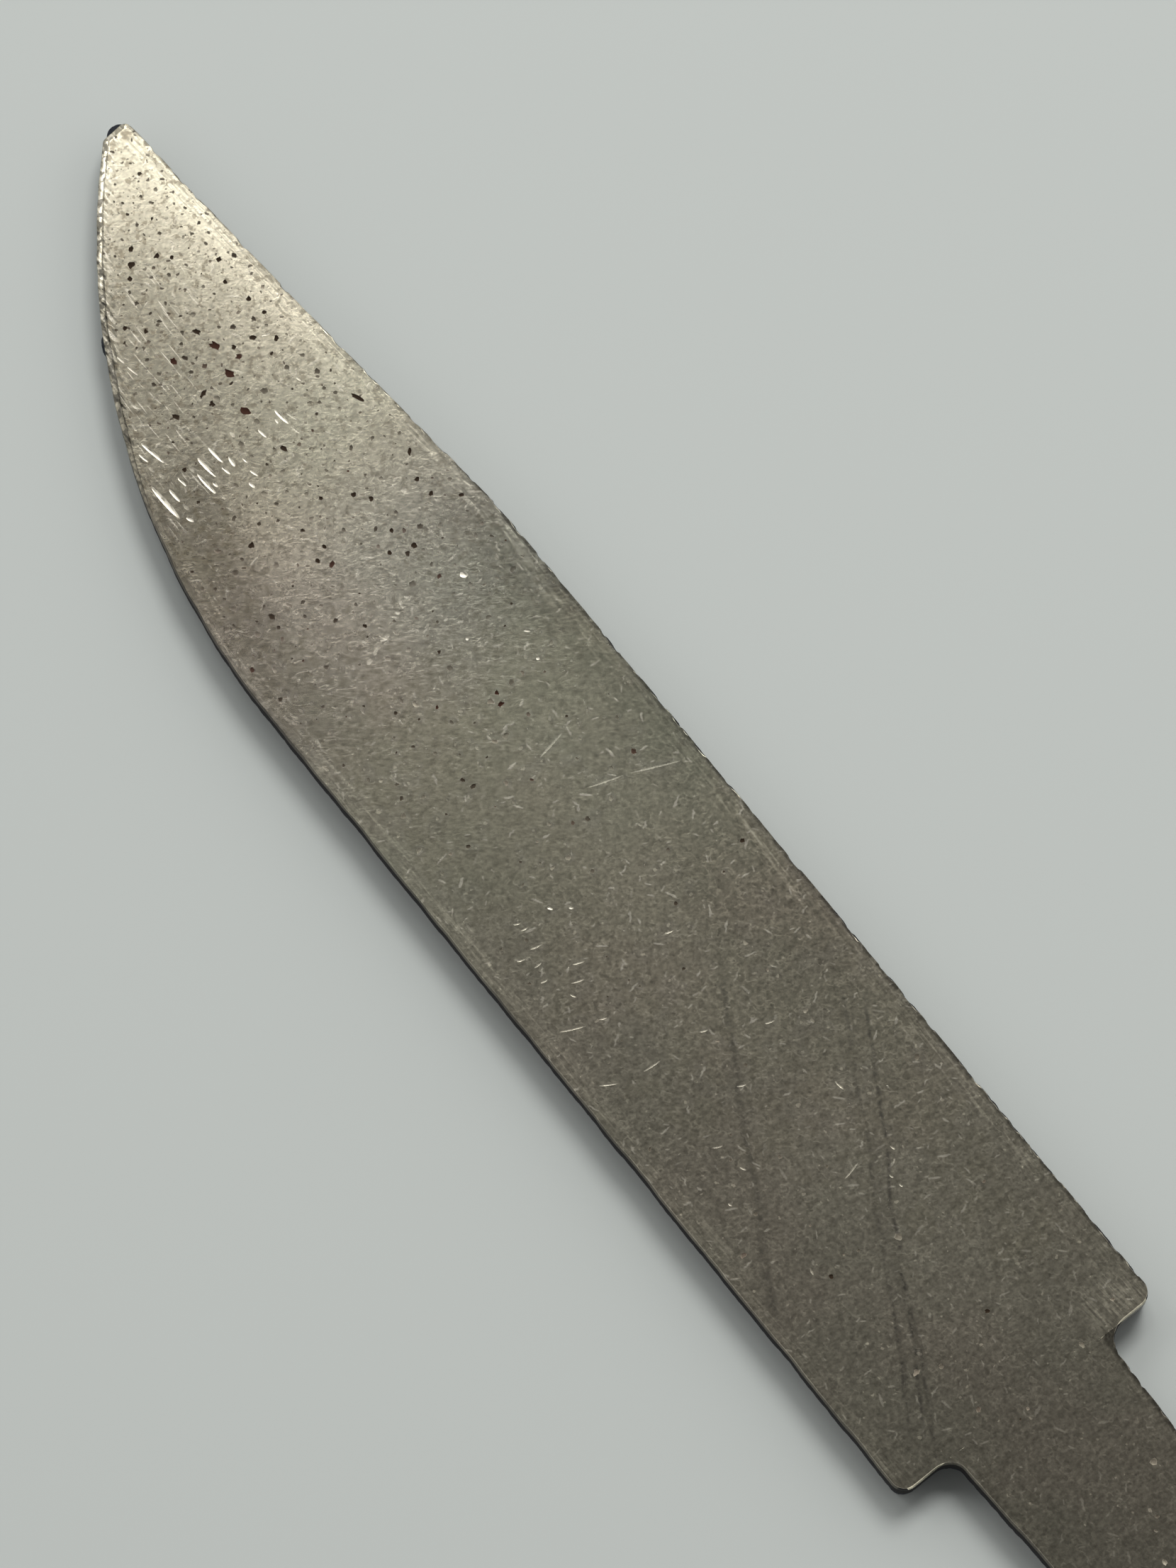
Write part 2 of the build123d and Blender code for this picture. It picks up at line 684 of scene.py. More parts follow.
class Trace(Enum):
    """What a mark in the face looks like."""

    RUST = Wear(depth=0.07, tone=-1.2, breadth=1.1, rust=1.0)
    PIT = Wear(depth=0.06, tone=-1.2, breadth=1.2)
    SPECK = Wear(depth=0.04, tone=-0.8, breadth=1.1)
    # Gouges are scraped marks, and their near-white also paints the lamps' glints on them.
    GOUGE = Wear(depth=0.03, tone=1.0, breadth=0.95)
    SCRATCH = Wear(depth=0.002, tone=0.2, breadth=0.8)
    NICK = Wear(depth=0.005, tone=0.24, breadth=0.9)


@dataclass(frozen=True)
class Mark:
    """One mark in the upper face, from its start to its end."""

    kind: Trace
    start: tuple[float, float]
    end: tuple[float, float]
    width: float


def pit(x: float, y: float, size: float) -> Mark:
    """A round pit, or a shallow speck where it is small."""
    kind = Trace.PIT if size > 0.27 else Trace.SPECK
    return Mark(kind, (x + size / 2, y), (x - size / 2, y - size / 4), size * 0.85)


# Marks that were placed from the photo. A row is x and y of the start and of the end, and the width.
PLACED = {
    Trace.GOUGE: (
        (79.9, 6.55, 77.0, 6.42, 0.36), (79.0, 5.76, 77.9, 5.72, 0.24), (76.8, 6.07, 76.3, 5.83, 0.23),
        (79.6, 3.08, 77.8, 2.9, 0.28), (78.7, 3.73, 76.9, 3.6, 0.28), (77.7, 3.28, 77.2, 3.24, 0.21),
        (79.7, 2.09, 78.3, 1.95, 0.28), (78.1, 2.22, 77.4, 2.08, 0.18), (78.4, 1.46, 77.6, 1.53, 0.25),
        (79.3, 4.86, 78.5, 4.76, 0.19), (82.1, 5.85, 81.3, 5.68, 0.19), (82.6, 5.28, 80.6, 4.92, 0.25),
        (77.8, 0.81, 77.3, 0.75, 0.15), (76.8, 0.95, 76.2, 0.76, 0.18), (76.2, 1.5, 75.7, 1.4, 0.23),
        (78.7, -1.13, 77.9, -1.25, 0.19), (78.6, -2.43, 78.2, -2.4, 0.15), (79.1, -2.77, 77.8, -2.9, 0.26),
        (88.25, 2.95, 87.6, 2.85, 0.13), (87.3, 2.85, 86.4, 2.65, 0.12), (83.6, -5.2, 83.4, -5.7, 0.13),
        (80.0, -5.2, 79.6, -5.3, 0.13), (63.0, -5.25, 62.6, -5.6, 0.43), (57.5, -6.1, 57.2, -6.4, 0.13),
        (59.4, -2.9, 59.2, -3.0, 0.18), (55.6, -5.6, 55.4, -5.7, 0.21), (42.35, 3.95, 42.05, 3.75, 0.18),
        (41.5, 2.9, 41.3, 2.7, 0.17),
    ),
    Trace.SCRATCH: (
        (79.4, 3.86, 78.9, 3.8, 0.26), (77.7, 5.68, 77.1, 5.62, 0.28), (76.6, 3.42, 76.2, 3.32, 0.22),
        (81.0, 5.9, 80.5, 5.8, 0.25), (80.3, 5.6, 79.8, 5.6, 0.32), (78.5, -3.22, 77.6, -3.5, 0.16),
        (77.6, -2.92, 76.8, -3.05, 0.18), (79.7, 0.35, 79.2, 0.36, 0.32), (85.4, 4.15, 84.5, 4.09, 0.22),
        (84.1, 4.95, 83.4, 5.03, 0.22), (62.6, 0.67, 62.6, 1.46, 0.46), (62.4, 1.8, 62.1, 2.35, 0.31),
        (62.0, 2.58, 61.9, 3.06, 0.38), (64.1, -1.22, 63.4, -1.00, 0.25), (63.5, -0.45, 63.3, -0.72, 0.35),
        (64.0, -1.52, 63.8, -1.8, 0.23), (61.2, -2.76, 61.1, -2.53, 0.25), (85.2, 2.8, 83.8, 2.65, 0.14),
        (50.3, -1.7, 50.7, -3.8, 0.2), (46.9, -2.8, 46.1, -5.2, 0.17), (46.0, -5.5, 44.6, -8.6, 0.17),
        (69.8, -5.8, 69.3, -6.1, 0.5),
    ),
    Trace.RUST: (
        (85.3, -2.35, 84.6, -2.55, 0.42), (86.0, 0.35, 85.5, 0.25, 0.44), (83.2, -1.85, 82.5, -2.15, 0.48),
        (80.5, -1.1, 79.9, -1.45, 0.4), (55.5, -2.2, 55.2, -2.3, 0.26), (54.6, -1.7, 54.6, -2.2, 0.24),
    ),
    Trace.PIT: (
        (82.7, 0.45, 82.9, -0.15, 0.24), (82.1, 0.15, 81.7, 0.1, 0.32), (82.9, 2.55, 82.4, 2.35, 0.28),
        (86.7, -2.0, 86.2, -2.2, 0.3), (84.0, -4.5, 83.7, -4.9, 0.26), (86.3, -6.2, 86.0, -6.0, 0.26),
        (83.0, -5.7, 82.8, -5.95, 0.32), (76.9, -1.6, 76.4, -1.7, 0.3), (72.9, 3.8, 72.6, 4.1, 0.3),
        (79.6, 4.25, 79.3, 4.15, 0.28), (38.3, -8.3, 38.05, -8.3, 0.25), (13.35, 4.8, 13.05, 4.8, 0.26),
        (5.75, -1.3, 5.45, -1.3, 0.28), (76.9, -7.3, 76.05, -7.6, 0.22), (71.65, -7.95, 71.25, -7.6, 0.2),
    ),
    Trace.NICK: (
        (42.8, 6.3, 42.6, 5.9, 0.15), (42.2, 6.2, 42.1, 5.7, 0.15), (40.9, 6.5, 40.7, 5.7, 0.15),
        (40.8, 7.6, 40.6, 7.1, 0.15), (39.8, 7.0, 39.8, 6.4, 0.15), (38.8, 7.3, 38.7, 6.8, 0.15),
        (38.5, 5.0, 38.2, 4.3, 0.15), (37.6, 5.8, 37.3, 5.0, 0.15), (37.1, 6.3, 36.7, 6.1, 0.15),
        (35.6, 8.3, 34.9, 6.8, 0.15), (34.7, 5.9, 34.5, 5.4, 0.15), (31.4, 8.5, 30.8, 7.5, 0.15),
        (30.4, 5.8, 30.3, 4.5, 0.15), (26.1, 1.9, 25.8, 1.3, 0.15), (24.0, 5.5, 23.7, 4.9, 0.15),
        (22.0, 4.9, 21.6, 4.7, 0.15), (22.6, -3.1, 21.8, -3.2, 0.15), (20.7, 6.9, 20.4, 6.8, 0.15),
        (17.4, 0.3, 17.7, -1.0, 0.15), (17.3, -3.2, 16.9, -3.3, 0.15), (15.9, -2.0, 15.6, -2.1, 0.15),
        (15.1, -2.1, 14.8, -2.2, 0.15), (14.4, 5.5, 13.9, 5.6, 0.15), (36.5, -0.7, 36.3, -1.3, 0.15),
        (30.2, 1.5, 30.0, 1.0, 0.15), (28.1, -2.0, 27.9, -2.6, 0.15),
    ),
}
# Round pits, each by its place and size.
ROUND_PITS = (
    (96.1, -4.9, 0.22), (96.5, -3.7, 0.22), (93.7, -6.65, 0.24), (94.7, -3.5, 0.22), (93.6, -2.2, 0.32),
    (93.3, -4.3, 0.26), (92.7, -1.5, 0.44), (92.2, -3.2, 0.36), (92.0, -0.9, 0.3), (92.0, -5.9, 0.26),
    (91.5, -3.9, 0.28), (91.4, -6.8, 0.22), (90.9, -6.2, 0.26), (89.5, -6.2, 0.34), (89.5, 1.4, 0.28),
    (88.5, 0.5, 0.3), (88.0, -5.6, 0.28), (87.0, -1.3, 0.26), (86.4, -0.8, 0.26), (85.8, -3.4, 0.24),
    (84.8, -6.3, 0.28), (84.1, -3.3, 0.32), (78.3, -6.1, 0.26), (77.6, -6.5, 0.26), (77.7, -5.3, 0.24),
    (73.7, -6.5, 0.26), (72.5, -1.4, 0.28), (72.4, 5.0, 0.26), (72.0, -4.6, 0.2), (71.4, -3.2, 0.34),
    (70.5, -3.9, 0.3), (69.8, 0.4, 0.28), (69.7, -7.0, 0.3), (69.3, 1.3, 0.32), (69.2, 8.1, 0.22),
    (68.8, -4.6, 0.26), (68.5, 6.8, 0.2), (68.4, -7.1, 0.34), (68.0, -3.6, 0.28), (66.9, -2.6, 0.3),
    (66.3, -4.1, 0.36), (65.5, 1.2, 0.26), (64.0, 1.6, 0.28), (35.5, 2.9, 0.16), (35.5, 4.6, 0.14),
    (34.8, 2.6, 0.14), (26.8, 0.6, 0.26), (-10.5, -1.3, 0.24), (42.0, 7.9, 0.24), (41.5, 6.3, 0.26),
    (39.2, 7.9, 0.26), (22.7, 5.1, 0.2), (21.0, 2.6, 0.26), (19.1, 6.0, 0.24), (18.7, 0.7, 0.22),
    (13.4, 2.5, 0.22),
)

MARKS = (
    *(Mark(kind, row[:2], row[2:4], row[4]) for kind, rows in PLACED.items() for row in rows),
    *(pit(*row) for row in ROUND_PITS),
)


@dataclass(frozen=True)
class PitScatter:
    """Where the small unplaced pits are, and how large, deep and dark."""

    gap: float = 0.72
    per_square: float = 1.8
    smallest: float = 0.14
    largest: float = 0.48
    slimmest: float = 0.6
    roundest: float = 0.95
    shallowest: float = 0.01
    deepening: float = 0.05
    darkest: float = -1.0
    palest: float = -0.45
    unrusted: float = 0.8
    thick_from: float = 36.0
    thick_to: float = 78.0
    thin_share: float = 0.05
    rim_gap: float = 0.85
    mark_gap: float = 0.45
    seed: int = 11


@dataclass(frozen=True)
class TabStub:
    """What is left of a tab on the wall: a low half-round lump with a torn skin."""

    foot: Vector
    outward: Vector
    chord: float
    proud: float
    low: float = 0.35
    high: float = 2.0
    corner: float = 0.12
    across: int = 16
    levels: int = 10
    ragged: float = 0.035
    per_mm: float = 6.0
    rooted: float = 0.3

    def ring(self, share: float) -> list[Vector]:
        """Make one level of the lump.

        Args:
            share: How far up the lump it is, from 0 to 1.

        Returns:
            Its points in millimetres, with the last two inside the wall.
        """
        along = Vector((-self.outward.y, self.outward.x, 0))
        radius = (self.chord**2 / 4 + self.proud**2) / (2 * self.proud)
        half = math.asin(min(1.0, self.chord / 2 / radius))
        lift = Vector((0, 0, self.low + (self.high - self.low) * share))
        inset = self.corner * max(0.0, 1 - min(share, 1 - share) * self.levels / 2) ** 2
        points: list[Vector] = []
        for i in range(self.across + 1):
            angle = half * (2 * i / self.across - 1)
            out = radius * math.cos(angle) - (radius - self.proud) - inset
            point = self.foot + along * radius * math.sin(angle) + self.outward * out + lift
            points.append(point + self.outward * noise.noise(point * self.per_mm) * self.ragged)
        return points + [end - self.outward * self.rooted for end in (points[-1], points[0])]

    def mesh_parts(self) -> tuple[list[Vector], list[Face]]:
        """Stack the rings, with a cap at either end.

        Returns:
            The lump's points, in millimetres, and its faces.
        """
        rings = [self.ring(level / self.levels) for level in range(self.levels + 1)]
        points = [point for ring in rings for point in ring]
        count = len(rings[0])
        caps = [tuple(range(count - 1, -1, -1)), tuple(range(len(points) - count, len(points)))]
        return points, ring_faces(len(rings), count) + caps


@dataclass(frozen=True)
class BlankShape:
    """The blank's visible mesh: faces with real marks, a swept edge land and the tab stubs."""

    outline: Outline
    land: EdgeLand
    scatter: PitScatter
    stubs: tuple[TabStub, ...]
    wave_depth: float = 0.07
    grain_depth: float = 0.05
    wide_roll_from: float = 74.0
    wide_roll_to: float = 88.0
    waves_per_metre: float = 330.0
    nicks_per_metre: float = 900.0
    grains_per_metre: float = 2600.0
    ragged_per_metre: float = 6500.0
    narrow_roll: float = 0.28
    dent_sides: int = 12
    dent_rings: tuple[Way, ...] = ((0.5, 0.0, 0.75), (0.39, -0.6, 1.0), (0.2, -0.95, 1.0))
    weld: float = 0.001

    def dent(self) -> Object:
        """One hollow of unit length, width and depth, open at the top.

        Each of its rings has a radius, a height and how much of the mark's tone it takes.

        Returns:
            The hollow.
        """
        count, rings = self.dent_sides, self.dent_rings
        angles = [math.tau * i / count for i in range(count)]
        points = [(r * math.cos(angle), r * math.sin(angle), z) for r, z, _ in rings for angle in angles]
        cap = tuple(range(len(points) - count, len(points)))
        thing = built("dent", points, faces=[*ring_faces(len(rings), count), cap])
        write(thing, "POINT", hollow=[share for _, _, share in rings for _ in range(count)])
        return thing

    def marks(self) -> Object:
        """Lay out the placed marks.

        Returns:
            One edge for each mark, which carries its width, depth, tone and rust.
        """
        ends = [(x * MM, y * MM, 0) for mark in MARKS for x, y in (mark.start, mark.end)]
        thing = built("marks", ends, [(2 * i, 2 * i + 1) for i in range(len(MARKS))])
        kinds = [mark.kind.value for mark in MARKS]
        widths = [mark.width * kind.breadth * MM for mark, kind in zip(MARKS, kinds)]
        depths = [kind.depth * MM for kind in kinds]
        tones, rust = [kind.tone for kind in kinds], [kind.rust for kind in kinds]
        write(thing, "EDGE", width=widths, depth=depths, tone=tones, rust=rust)
        return thing

    def lumps(self) -> Object:
        """Make the tab stubs.

        Returns:
            Both stubs, in one mesh.
        """
        points: list[Vector] = []
        faces: list[Face] = []
        for stub in self.stubs:
            made, sides = stub.mesh_parts()
            faces += [tuple(len(points) + i for i in side) for side in sides]
            points += [p * MM for p in made]
        return built("stubs", points, faces=faces)

    def swept_land(self, net: GeometryNet, profile: Term) -> Term:
        """Sweep the section round the outline.

        Args:
            net: The tree.
            profile: The section, as edges.

        Returns:
            The edge land, not worn yet.
        """
        path = net.step("SetCurveNormal", net.step("MeshToCurve", net.source), {"mode": "Z_UP"})
        path = net.store(path, "outward", net.add("GeometryNodeInputNormal"), "FLOAT_VECTOR")
        land = net.step("CurveToMesh", path, Profile_Curve=net.step("MeshToCurve", profile))
        return net.step("SetShadeSmooth", land, Shade_Smooth=True)

    def worn(self, net: GeometryNet, land: Term) -> Term:
        """Wear the cut edge.

        The roll is narrow and ragged along the back. The wall is pushed in by shallow waves all the
        way down, and by its torn grain low down.

        Args:
            net: The tree.
            land: The swept edge.

        Returns:
            The worn edge.
        """
        torn_height = net.size("Torn height", self.land.torn_height)
        wave_depth = net.size("Wave depth", self.wave_depth)
        grain_depth = net.size("Torn grain depth", self.grain_depth)
        place = net.place()
        x, y, level = net.parts(place)
        outward = net.read("outward", "FLOAT_VECTOR")
        wave = net.noise(net.joined(x, y), self.waves_per_metre, 3.0)
        nick = net.noise(net.joined(x, y), self.nicks_per_metre)
        grain = net.noise(place, self.grains_per_metre)
        to_back = (net.parts(outward)[1] * -1).rise(0.3, 0.9)
        push = wave.rise(0.42, 0.72) * wave_depth
        push = push + grain.rise(0.4, 0.8) * grain_depth * (level < torn_height)
        push = push + nick.rise(0.50, 0.57) * to_back * wave_depth
        full = x.rise(self.wide_roll_from * MM, self.wide_roll_to * MM) * (1 - to_back)
        kept = full * (1 - self.narrow_roll) + self.narrow_roll
        kept = kept - to_back * (0.18 - nick.rise(0.45, 0.75) * 0.1)
        rolled = level > self.land.thickness / 2 * MM
        shift = net.read("inset") * (1 - kept) * rolled - push
        return net.moved(land, net.scaled(outward, shift))

    def rim_loops(self, net: GeometryNet, land: Term) -> list[Term]:
        """Find the land's open edges.

        Args:
            net: The tree.
            land: The edge land.

        Returns:
            The upper and the lower edge, as curves.
        """
        above = net.parts(net.place())[2] > self.land.thickness / 2 * MM
        chosen = (net.open_edges() * side for side in (above, 1 - above))
        return [net.step("MeshToCurve", land, Selection=edges) for edges in chosen]

    def filled(self, net: GeometryNet, loops: list[Term], height: float = 0.0) -> Term:
        """Fill closed loops with flat faces.

        Args:
            net: The tree.
            loops: The curves round the faces and their holes.
            height: Where the faces lie, in millimetres.

        Returns:
            The faces.
        """
        face = net.step("FillCurve", net.step("JoinGeometry", loops), {"mode": "TRIANGLES"})
        return net.step("SetShadeSmooth", net.moved(face, (0.0, 0.0, height * MM)), Shade_Smooth=False)

    def placed_marks(self, net: GeometryNet, marks: Term) -> Term:
        """Turn the placed marks into points that know which way and how far they run.

        Args:
            net: The tree.
            marks: The marks, as edges.

        Returns:
            One point in the middle of each mark.
        """
        ends = net.add("GeometryNodeInputMeshEdgeVertices")
        along = net.vector("SUBTRACT", ends.other("Position 2"), ends.other("Position 1"))
        marks = net.store(marks, "along", along, "FLOAT_VECTOR", on="EDGE")
        return net.step("MeshToPoints", marks, {"mode": "EDGES"})

    def scattered_pits(self, net: GeometryNet, face: Term, marks: Term) -> Term:
        """Scatter small pits, thick towards the nose, clear of the rim and of the placed marks.

        Args:
            net: The tree.
            face: The face that they lie in.
            marks: The placed marks, as edges.

        Returns:
            The pits, as points.
        """
        sizes = self.scatter
        near_nose = net.parts(net.place())[0].rise(sizes.thick_from * MM, sizes.thick_to * MM)
        pits = net.step(
            "DistributePointsOnFaces",
            face,
            {"distribute_method": "POISSON"},
            Distance_Min=net.size("Pit gap", sizes.gap),
            Density_Max=sizes.per_square / MM**2,
            Density_Factor=near_nose * (1 - sizes.thin_share) + sizes.thin_share,
            Seed=net.input("Seed", "NodeSocketInt", sizes.seed),
        )
        near_rim = net.gap_to(net.source) < sizes.rim_gap * MM
        near_mark = net.gap_to(marks) < sizes.mark_gap * MM
        pits = net.step("DeleteGeometry", pits, {"domain": "POINT"}, Selection=near_rim + near_mark)
        pick = net.random(0.0, 1.0, 1)
        length = (pick * pick * (sizes.largest - sizes.smallest) + sizes.smallest) * MM
        turn = net.random(0.0, math.tau, 2)
        along = net.joined(length * turn.math("COSINE"), length * turn.math("SINE"))
        pits = net.store(pits, "along", along, "FLOAT_VECTOR")
        pits = net.store(pits, "width", length * net.random(sizes.slimmest, sizes.roundest, 3))
        pits = net.store(pits, "depth", pick * sizes.deepening * MM + sizes.shallowest * MM)
        pits = net.store(pits, "rust", net.random(0.0, 1.0, 5) > sizes.unrusted)
        return net.store(pits, "tone", net.random(sizes.darkest, sizes.palest, 4))

    def dents(self, net: GeometryNet, points: list[Term], dent: Term) -> Term:
        """Put a hollow on every point and give each a rim of its own, rougher where it is dark.

        Args:
            net: The tree.
            points: The marks and pits, as points.
            dent: The hollow.

        Returns:
            The hollows, in the plane where the height is 0.
        """
        place = net.place()
        spots = net.store(net.step("JoinGeometry", points), "middle", place, "FLOAT_VECTOR")
        along = net.read("along", "FLOAT_VECTOR")
        length = net.vector("LENGTH", along, outlet="Value")
        turning = {"axis": "X", "pivot_axis": "Z"}
        turn = net.add("FunctionNodeAlignRotationToVector", turning, {"Vector": along})
        size = net.joined(length, net.read("width"), net.read("depth"))
        dents = net.step("InstanceOnPoints", spots, Instance=dent, Rotation=turn, Scale=size)
        dents = net.step("RealizeInstances", dents)
        arm = net.vector("SUBTRACT", place, net.read("middle", "FLOAT_VECTOR"))
        arm = net.vector("MULTIPLY", arm, (1.0, 1.0, 0.0))
        dark = net.read("tone") < 0
        reach = (net.noise(place, self.ragged_per_metre, 2.0, 0.7) - 0.5) * (dark * 1.9 + 0.5)
        dents = net.moved(dents, net.scaled(arm, reach))
        dents = net.store(dents, "mark", net.read("hollow") * net.read("tone"), on="CORNER")
        dents = net.store(dents, "rusted", net.read("rust"), on="CORNER")
        return net.step("SetShadeSmooth", dents, Shade_Smooth=True)

    def build(self, steel: Material) -> Object:
        """Make the blank.

        Args:
            steel: The finish that it gets.

        Returns:
            The finished object.
        """
        outline = self.outline.points()
        path = built("outline", [p * MM for p in outline], line(len(outline), closed=True))
        helpers = self.land.build(), self.dent(), self.marks(), self.lumps()

        net = GeometryNet("blank shape")
        names = ("Section", "Dent", "Marks", "Stubs")
        profile, dent, marks, lumps = (net.shape(name, thing) for name, thing in zip(names, helpers))
        land = self.worn(net, self.swept_land(net, profile))
        upper_loop, lower_loop = self.rim_loops(net, land)
        pits = self.scattered_pits(net, self.filled(net, [upper_loop]), marks)
        dents = self.dents(net, [self.placed_marks(net, marks), pits], dent)
        holes = net.step("MeshToCurve", dents, Selection=net.open_edges())
        upper = self.filled(net, [upper_loop, holes], self.land.thickness)
        lower = net.step("FlipFaces", self.filled(net, [lower_loop]))
        dents = net.moved(dents, (0.0, 0.0, self.land.thickness * MM))
        skin = net.step("JoinGeometry", [land, upper, lower, dents])
        skin = net.step("MergeByDistance", skin, Distance=self.weld * MM)
        whole = net.step("JoinGeometry", [skin, net.store(lumps, "torn", 1.0)])
        whole = net.step("RealizeInstances", whole)
        whole = net.step("SetMaterial", whole, Material=steel)
        mesh = net.apply(path, whole)
        for thing in (path, *helpers):
            bpy.data.objects.remove(thing)
        return placed("blank_skin", mesh)


@dataclass(frozen=True)
class Streak:
    """A long dull band that something drew across the face."""

    start: tuple[float, float]
    end: tuple[float, float]
    width: float
    strength: float
    faint_ends: float = 2.0
    fading: float = 3.0

    def mask(self, x: Term, y: Term, wander: Term) -> Term:
        """Find how dull a place is.

        Args:
            x: The place along the blade.
            y: The place across it.
            wander: How far the band strays sideways there.

        Returns:
            Its strength inside the band, and 0 outside.
        """
        run = Vector(self.end) - Vector(self.start)
        way = run.normalized()
        from_x, from_y = x - self.start[0], y - self.start[1]
        ahead = from_x * way.x + from_y * way.y
        aside = from_x * -way.y + from_y * way.x + wander
        end = run.length + self.faint_ends
        inside = ahead.within(-self.faint_ends, self.fading - self.faint_ends, end - self.fading, end)
        return abs(aside).rise(self.width, 0.0) * inside * self.strength


STREAKS = (
    Streak((32.4, -1.8), (13.5, 9.2), 0.44, 0.62),
    Streak((26.2, -6.7), (5.0, 5.5), 0.30, 0.58),
    Streak((24.8, -7.5), (2.6, 6.1), 0.24, 0.85),
    Streak((19.0, -3.1), (9.0, 2.6), 0.60, 0.28),
    Streak((9.6, 1.6), (0.8, 6.5), 0.22, 0.70),
    Streak((8.4, 3.7), (3.0, 6.9), 0.18, 0.60),
    Streak((44.3, 2.5), (38.0, 2.0), 0.30, 0.12),
)


@dataclass(frozen=True)
class BrightnessPatch:
    """A patch with soft borders where the steel is lighter or darker than round it.

    Along the blade, and across it, it sets in from the first place to the second, and ends from the
    third to the fourth if they are given. With no place across, it is as wide as the blade.
    """

    along: tuple[float, ...]
    across: tuple[float, ...]
    shade: float

    def mask(self, x: Term, y: Term) -> Term:
        """Its shade inside, and 0 outside."""
        shade = x.within(*self.along) * self.shade
        return shade * y.within(*self.across) if self.across else shade


# Patches that the dark bands along the rims lie over, and patches that lie over the bands.
LOWER_PATCHES = (
    BrightnessPatch((70, 82, 90, 99), (-6, 3), -0.22),
    BrightnessPatch((76, 88, 94, 98.5), (-6.2, -1), -0.17),
    # Painted shade: darker towards the back along the middle, which evens out the key lamp's brightening
    # there.
    BrightnessPatch((8, 30, 66, 78), (1, -9), -0.14),
    BrightnessPatch((66, 76, 85, 93), (-2, -6), 0.05),
    # Painted light: the tang is lighter, and the tip lighter still under the lamps' reflection.
    BrightnessPatch((10, -12), (), 0.09),
    BrightnessPatch((94, 99), (), 0.05),
)
UPPER_PATCHES = (
    BrightnessPatch((55, 60, 66, 70), (-1, -4), -0.07),
    BrightnessPatch((24, 30, 36, 42), (-1, -4), -0.07),
    BrightnessPatch((1, 6, 17, 26), (-6, -2), 0.12),
    BrightnessPatch((60, 66, 73, 78), (-8, -4, 1, 4), 0.07),
)


class Here:
    """A place on the blank, with the areas that it lies in and the patterns that run over it."""

    def __init__(self, net: SurfaceNet, steel: "TumbledSteel") -> None:
        """Find the areas and lay the patterns.

        Args:
            net: The material's tree.
            steel: The finish.
        """
        self.net, self.place = net, net.place()
        self.x, self.y, self.z = x, y, z = net.parts(self.place)
        self.rim = rim = self.rim_distance(steel.outline)
        self.near_nose = x.rise(45.0, 98.0)
        self.past_middle = (x - steel.middle_bends).most(0.0)
        self.belly = y > self.past_middle * -steel.middle_fall
        below_face = steel.thickness - z
        self.face = below_face.rise(0.02, 0.002)
        self.roll = (1 - self.face) * (below_face < steel.roll_fall) * (rim < steel.roll_reach)
        self.wall = (below_face > steel.wall_top) * (z > 0.001)
        self.torn = (net.attribute("torn") + self.wall * (z < steel.torn_height)).clamped()
        self.toothed = self.belly * x.rise(72.0, 84.0)

        order = x.rise(60.0, 5.0) * 0.6 + 0.15
        self.coarse = net.dashes(self.place, 0.95, order, 0.2)
        self.fine = net.dashes(self.place, 2.1, order, -0.2)
        self.speckle = self.leaning(lambda where: net.noise(where, 4.2, 3.0, 0.65))
        self.worms = self.leaning(lambda where: net.worms(where, 1.7))
        self.fine_worms = self.leaning(lambda where: net.worms(where, 3.1))
        self.mottle = net.noise(self.place, 1.7, 4.0, 0.7)
        self.tick = net.noise(net.joined(x * 1.1, y * 4.6))
        along_rim = net.joined(x * 0.2, rim * (self.near_nose * 2.2 + 1.9), y.math("SIGN"))
        self.drawn = net.noise(along_rim, 1.0, 3.0, 0.6)
        band = rim.rise(1.8, 0.5) * (self.near_nose * 0.4 + 0.65) * (1 - self.toothed * 0.85)
        self.lines = (self.drawn.rise(0.36, 0.64) - 0.4 + self.near_nose * 0.06) * band

    def leaning(self, pattern: Callable[[Term], Term]) -> Term:
        """Lay a pattern as it is, and leaning one way where the blade is lit from the side.

        Args:
            pattern: What makes the pattern from a place.

        Returns:
            The pattern.
        """
        x, y = self.x, self.y
        laid = self.net.joined((x * 0.62 + y * 0.79) * 0.62, (y * 0.62 - x * 0.79) * 1.2, self.z)
        side_lit = x.rise(38.0, 62.0)
        return pattern(laid) * side_lit + pattern(self.place) * (1 - side_lit)

    def rim_distance(self, shape: Outline) -> Term:
        """Find how far the place lies from the outline.

        Args:
            shape: The outline.

        Returns:
            The distance in millimetres, seen from above.
        """
        x, y = self.x, self.y
        arm = self.net.joined((x - shape.belly_start).most(0.0), y - shape.belly_centre.y)
        to_edge = shape.belly_radius - self.net.vector("LENGTH", arm, outlet="Value")
        fall = (shape.half_width + shape.nose_back.y) / shape.drop_length
        to_back = y + shape.half_width - (x - shape.drop_start.x).most(0.0) * fall
        taper = (shape.tang_root - shape.tang_end) / shape.tang_length
        tang = x * taper + shape.tang_root - abs(y)
        on_blade = x > 0
        return on_blade * to_edge.least(to_back) + (1 - on_blade) * tang


